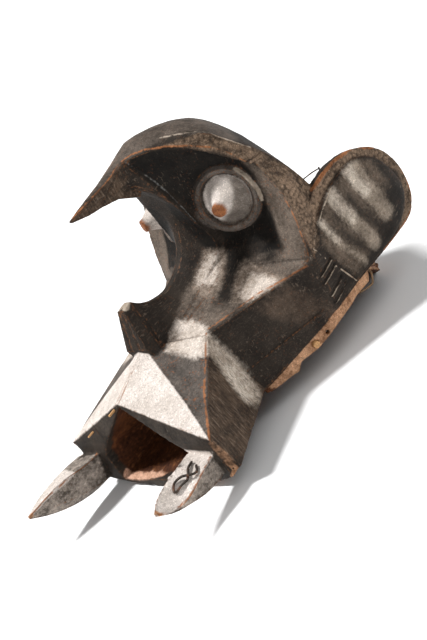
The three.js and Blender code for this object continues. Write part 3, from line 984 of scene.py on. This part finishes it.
# random textures: the size of their lumps in millimetres, their detail, stretch and roughness
textures = dict(
    blotch=(28, 4),
    grain=(1.7, 4, (1, 7, 1)),
    speck=(1.5, 2),
    speckle=(4.5, 5, (1, 1, 1), 0.7),
    scrape=(1.1, 3, (1, 14, 5)),
    scraped=(24, 2),
    streak=(2.2, 4, (1, 1, 14)),
    fleck=(2.8, 4, (1, 1, 1), 0.65),
    flecked=(22, 2),
    crackle=(0.9, 3, (1, 5, 1)),
)
patina = ((0.3, (0.012, 0.009, 0.007)), (0.7, (0.034, 0.026, 0.02)))
rawWood = ((0.36, (0.016, 0.005, 0.0025)), (0.52, (0.07, 0.024, 0.01)), (0.66, (0.26, 0.1, 0.035)))

# age and wear, and painted shade along the creases: each tone, how opaque it is, and the values between
# which it shows
wearing = dict(
    grain=((0.075, 0.057, 0.044), 0.5, (0.5, 0.75)),
    creaseShade=((0.01, 0.008, 0.006), 0.5, (2.6, 0)),
    rubbed=((0.2, 0.085, 0.036), 0.6, (1.3, -0.5)),
    scrape=((0.19, 0.145, 0.11), 0.35, (0.6, 0.7)),
    paleStreak=((0.2, 0.145, 0.105), 0.5, (0.52, 0.68)),
    darkStreak=((0.022, 0.015, 0.011), 0.65, (0.47, 0.34)),
    fleck=((0.22, 0.08, 0.03), 0.8, (0.55, 0.66)),
    knob=((0.27, 0.19, 0.13), 0.5, (0.34, 0.1)),
    pit=((0.02, 0.014, 0.01), 0.6, (0.5, 0.8)),
    check=((0.01, 0.008, 0.006), 0.8, (0.45, 0.6)),
    pore=((0.012, 0.009, 0.007), 0.4, (0.46, 0.34)),
)
finish = dict(
    thin=(0.28, 0.42),
    thinCover=0.6,  # what is left where it is thin
    tones=(0.35, 0.65),
    places=(0.42, 0.6),  # where scrapes and flecks are thick
    kept=0.83,  # how much of the white powder a ridge keeps
    pits=4.6,
    checks=dict(size=9, stretch=(1, 1.6, 1), feature="DISTANCE_TO_EDGE"),
    checkWidth=0.04,
    glint=2,  # how much brighter the finest flecks are
    glintCover=0.6,
    glints=(0.52, 0.66),
    reliefDepth=0.95,
    shine=0.11,
)


def aged(paint, name, texture, under, where=1):
    tone, cover, shows = wearing[name]
    return paint.blend(texture.step(*shows) * where * cover, under, tone)


def painted(paint, coats, colour, noise):
    # coats of paint, ragged at their edges and thin in specks
    speckle, blotch = noise["speckle"], noise["blotch"]
    thin = (speckle * 0.5 + noise["speck"] * 0.5).step(*finish["thin"])
    thin = thin * (1 - finish["thinCover"]) + finish["thinCover"]
    for name, coat in coats.items():
        wander = (speckle * 0.6 + blotch * 0.4 - 0.5) * (2 * coat["ragged"])
        mask = (paint.field(name) + wander).step(-coat["fade"], coat["fade"])
        tone = paint.blend((blotch * 0.5 + speckle * 0.5).step(*finish["tones"]), *coat["tones"])
        colour = paint.blend(mask * thin * coat["cover"], colour, tone)
    return colour


def worn(paint, colour, noise):
    # rubbed ridges, scrapes, the grain of the bare brown faces, and reddish flecks
    ridge = paint.field("ridge") + noise["speckle"] * 6 - 3
    bare = 1 - paint.field("powder").step(-1, 2) * finish["kept"]
    colour = aged(paint, "rubbed", ridge, colour, bare)
    colour = aged(paint, "scrape", noise["scrape"], colour, noise["scraped"].step(*finish["places"]))
    brown = paint.field("brown").step(-1, 3)
    colour = aged(paint, "paleStreak", noise["streak"], colour, brown)
    colour = aged(paint, "darkStreak", noise["streak"], colour, brown)
    flecked = paint.field("ash").step(-1, 3) + paint.field("dusty").step(-1, 5) * 0.5 + 0.18
    flecked = paint.node("Clamp", {}, {"Value": flecked}) * noise["flecked"].step(*finish["places"])
    return aged(paint, "fleck", noise["fleck"], colour, flecked)


def paintedWood():
    paint = Paint("painted_wood")
    noise = {name: paint.noise(*texture) for name, texture in textures.items()}
    blotch, grain, speck, speckle = [noise[name] for name in ("blotch", "grain", "speck", "speckle")]
    colour = aged(paint, "grain", grain, paint.ramp(blotch, *patina))
    colour = painted(paint, layers, colour, noise)
    # painted shade: darker along the concave creases
    colour = aged(paint, "creaseShade", paint.field("groove") + speckle * 4 - 2, colour)
    colour = worn(paint, painted(paint, whites, colour, noise), noise)
    rough = paint.field("rough").step(-1, 3)
    pits = paint.cells(finish["pits"])
    checks = paint.cells(**finish["checks"]).step(finish["checkWidth"], 0) * rough
    colour = aged(paint, "knob", pits, colour, rough)
    colour = aged(paint, "pit", pits, colour, rough)
    colour = aged(paint, "check", speckle, colour, checks)
    fine = speck * 0.5 + noise["crackle"] * 0.5
    colour = aged(paint, "pore", fine, colour)
    brighter = {"Vector": colour, "Scale": finish["glint"]}
    brighter = paint.node("VectorMath", dict(operation="SCALE"), brighter)
    colour = paint.blend(fine.step(*finish["glints"]) * finish["glintCover"], colour, brighter)
    colour = painted(paint, lines, colour, noise)
    raw = paint.ramp(speckle * 0.4 + grain * 0.3 + blotch * 0.3, *rawWood)
    colour = paint.blend(paint.field("inside"), colour, raw)
    relief = grain * 0.4 + speckle * 0.35 + speck * 0.15 - rough * pits * 1.4 - checks * 0.5
    paint.set(Base_Color=colour, Roughness=speckle * 0.25 + 0.52)
    paint.set(Normal=paint.relief(relief, finish["reliefDepth"]))
    paint.set(Specular_IOR_Level=finish["shine"])
    return paint.material


hollow = dict(
    # places within it and within the mouth, from which its wood is seen
    middles=[(0, 220, -70), (0, 290, 60), (0, 120, -70), (0, 30, -75)],
    behind=2,
    slack=2.5,
)


def insideField(wood):
    # 1 on the hollow's wood and 0 outside
    found = np.zeros(len(wood.points))
    for i, place in enumerate(wood.points):
        if place[1] < hollow["behind"]:
            continue
        for middle in hollow["middles"]:
            way = Vector(place) - Vector(middle)
            hit = block.tree.ray_cast(Vector(middle), way.normalized())
            if hit[0] is None or hit[3] > way.length - hollow["slack"]:
                found[i] = 1
                break
    return found


def addField(mesh, name, values):
    made = mesh.attributes.new(name, "FLOAT", "POINT")
    made.data.foreach_set("value", np.asarray(values, np.float32))


def dressed(name, mesh, material):
    mesh.materials.clear()
    mesh.materials.append(material)
    mesh.polygons.foreach_set("use_smooth", [True] * len(mesh.polygons))
    return added(name, mesh)


def makeBody():
    mesh = carve()
    print("body carved")
    made = dressed("carved_body", mesh, paintedWood())
    wood = Wood(readPoints(mesh))
    addField(mesh, "ridge", distances(block.ridges, wood.points))
    addField(mesh, "groove", distances(block.hollows, wood.points))
    addField(mesh, "inside", insideField(wood))
    addField(mesh, "rough", wood.marks(roughFaces))
    for name, coat in (layers | whites | lines).items():
        addField(mesh, name, wood.marks(coat["marks"]))
    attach(made, body)
    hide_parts("mask_body")


makeBody()
print("body painted")

# Small pieces: iron wire and nails, wooden peg and pins, and the tie's twisted cord

small = dict(
    cell=0.42,
    rounds=3,
    soft=0.5,
    roughness=0.16,
    reliefDepth=0.25,
)


def worked(name, seed, stretch=(1, 1, 1), grown=0.1, lump=2.2):
    # the frame's small solid in fine mesh, rounded and uneven
    mesh = inCells(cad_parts[name].data.copy(), small["cell"])
    points = readPoints(mesh)
    points = softened(mesh, points, np.full(len(points), small["soft"]), small["rounds"])
    writePoints(mesh, points)
    height = grown + small["roughness"] * roughness(points, lump, seed, 3, stretch)
    writePoints(mesh, points + readVertices(mesh, "normal") * height[:, None])
    return mesh


def addSmall(name, mesh, material):
    made = dressed(name + "_piece", mesh, material)
    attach(made, body)
    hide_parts(name)


def oldIron():
    paint = Paint("old_iron")
    lump = paint.noise(2.5, 4, roughness=0.65)
    colour = paint.ramp(lump, (0.32, (0.012, 0.01, 0.009)), (0.68, (0.085, 0.066, 0.052)))
    rust = paint.noise(7).step(0.5, 0.64)
    colour = paint.blend(rust * 0.7, colour, (0.16, 0.062, 0.026))
    paint.set(Base_Color=colour, Roughness=lump * 0.3 + 0.4, Metallic=0.65 - rust * 0.5)
    paint.set(Normal=paint.relief(lump, small["reliefDepth"]))
    return paint.material


def rustyIron():
    paint = Paint("rusty_iron")
    lump = paint.noise(1.8, 4, roughness=0.65)
    colour = paint.ramp(lump, (0.3, (0.04, 0.018, 0.01)), (0.7, (0.22, 0.095, 0.05)))
    paint.set(Base_Color=colour, Roughness=lump * 0.2 + 0.65, Metallic=0.3 - lump * 0.3)
    paint.set(Normal=paint.relief(lump, 0.3))
    return paint.material


fibrous = dict(
    light_wood=dict(
        fibre=dict(size=0.8, detail=4, stretch=(1, 6, 1)), uneven=0.2, roughness=0.6,
        tones=((0.3, (0.4, 0.19, 0.065)), (0.7, (0.72, 0.42, 0.18))),
        stains=5, stained=(0.55, 0.75), cover=0.5, stain=(0.12, 0.06, 0.028),
    ),
    fibre_cord=dict(
        fibre=dict(size=0.6, detail=4, stretch=(1, 4, 1)), uneven=0.15, roughness=0.75,
        tones=((0.3, (0.1, 0.058, 0.03)), (0.7, (0.38, 0.25, 0.14))),
        stains=6, stained=(0.5, 0.7), cover=0.6, stain=(0.05, 0.032, 0.02),
    ),
)


def stainedFibre(name):
    paint = Paint(name)
    kind = fibrous[name]
    fibre = paint.noise(**kind["fibre"])
    stained = paint.noise(kind["stains"]).step(*kind["stained"]) * kind["cover"]
    colour = paint.blend(stained, paint.ramp(fibre, *kind["tones"]), kind["stain"])
    paint.set(Base_Color=colour, Roughness=fibre * kind["uneven"] + kind["roughness"])
    paint.set(Normal=paint.relief(fibre, small["reliefDepth"]))
    return paint.material


tieCord = dict(
    path=[
        (123.5, 306, -71), (129, 305, -77.5), (131, 301, -82),
        (130.5, 297, -88), (127.5, 289, -88.5), (124, 279, -86.5),
    ],
    strands=3,
    strandRadius=0.72,
    offset=0.68,
    turn=6.5,  # millimetres for each turn of the twist
    rings=90,
    sides=7,
    lean=(0.3, 0.1, 1),
    uneven=dict(size=2, seed=71, depth=0.15),
    # loose hairs: where each starts as a share of the cord, its length and its bend
    loose=[(0.62, 9, 0.36), (0.74, 7, -0.28), (0.95, 8, 0.16), (0.985, 10, -0.2)],
    hairAhead=0.5,
    hairDrop=0.3,
    hairRadius=(0.22, 0.1),
    hairRings=9,
    hairSides=5,
)


def directions(places):
    ahead = np.gradient(places, axis=0)
    return ahead / np.linalg.norm(ahead, axis=1)[:, None]


def smoothPath(path, count):
    # an even Catmull-Rom curve through the points
    path = np.array(path, float)
    ends = np.vstack([2 * path[0] - path[1], path, 2 * path[-1] - path[-2]])
    places = []
    justShort = len(path) - 1.0001
    for t in np.linspace(0, justShort, count):
        i = int(t)
        t -= i
        a, b, c, d = ends[i : i + 4]
        bend = 2 * a - 5 * b + 4 * c - d + t * (3 * (b - c) + d - a)
        places.append(b + 0.5 * t * (c - a + t * bend))
    return np.array(places)


def addTube(shape, places, radii, sides):
    # a closed tube round a line of places
    ahead = directions(places)
    side = np.cross(ahead[0], (0, 0, 1))
    rings = []
    for place, way, radius in zip(places, ahead, radii):
        side = side - way * (side @ way)
        side = side / np.linalg.norm(side)
        other = np.cross(way, side)
        ring = []
        for k in range(sides):
            angle = 2 * math.pi * k / sides
            at = place + radius * (side * math.cos(angle) + other * math.sin(angle))
            ring.append(shape.verts.new((at + np.array(peakOfMouth)) * millimetre))
        rings.append(ring)
    for one, two in zip(rings, rings[1:]):
        for k in range(sides):
            m = (k + 1) % sides
            shape.faces.new((one[k], one[m], two[m], two[k]))
    shape.faces.new(rings[0][::-1])
    shape.faces.new(rings[-1])


def twistedCord():
    places = smoothPath(tieCord["path"], tieCord["rings"])
    ahead = directions(places)
    length = np.concatenate([[0], np.cumsum(np.linalg.norm(np.diff(places, axis=0), axis=1))])
    side = np.cross(ahead, tieCord["lean"])
    side /= np.linalg.norm(side, axis=1)[:, None]
    other = np.cross(ahead, side)
    shape = bmesh.new()
    for strand in range(tieCord["strands"]):
        angle = 2 * math.pi * (strand / tieCord["strands"] + length / tieCord["turn"])
        away = side * np.cos(angle)[:, None] + other * np.sin(angle)[:, None]
        middle = places + tieCord["offset"] * away
        uneven = tieCord["uneven"]
        swelling = 1 + uneven["depth"] * lumps(middle, uneven["size"], uneven["seed"] + strand)
        addTube(shape, middle, tieCord["strandRadius"] * swelling, tieCord["sides"])
    for share, reach, bend in tieCord["loose"]:
        start = int(share * (tieCord["rings"] - 1))
        t = np.linspace(0, 1, tieCord["hairRings"])[:, None]
        hair = places[start] + t * reach * (tieCord["hairAhead"] * ahead[start] + bend * side[start])
        hair = hair - t * t * reach * np.array((0, 0, tieCord["hairDrop"]))
        radii = np.linspace(*tieCord["hairRadius"], tieCord["hairRings"])
        addTube(shape, hair, radii, tieCord["hairSides"])
    mesh = bpy.data.meshes.new("twisted_cord")
    bmesh.ops.recalc_face_normals(shape, faces=shape.faces)
    shape.to_mesh(mesh)
    return mesh


iron, wood = oldIron(), stainedFibre("light_wood")
addSmall("repair_wire", worked("repair_wire", 3, grown=0.5), iron)
addSmall("crest_nail", worked("crest_nail", 13), iron)
addSmall("ear_nail", worked("ear_nail", 23), rustyIron())
addSmall("rim_peg", worked("rim_peg", 33, (5, 2, 1), 0.35), wood)
addSmall("mouth_pin_upper", worked("mouth_pin_upper", 43, (1, 5, 1)), wood)
addSmall("mouth_pin_lower", worked("mouth_pin_lower", 53, (1, 5, 1)), wood)
addSmall("rim_tie", twistedCord(), stainedFibre("fibre_cord"))
print("small pieces made")
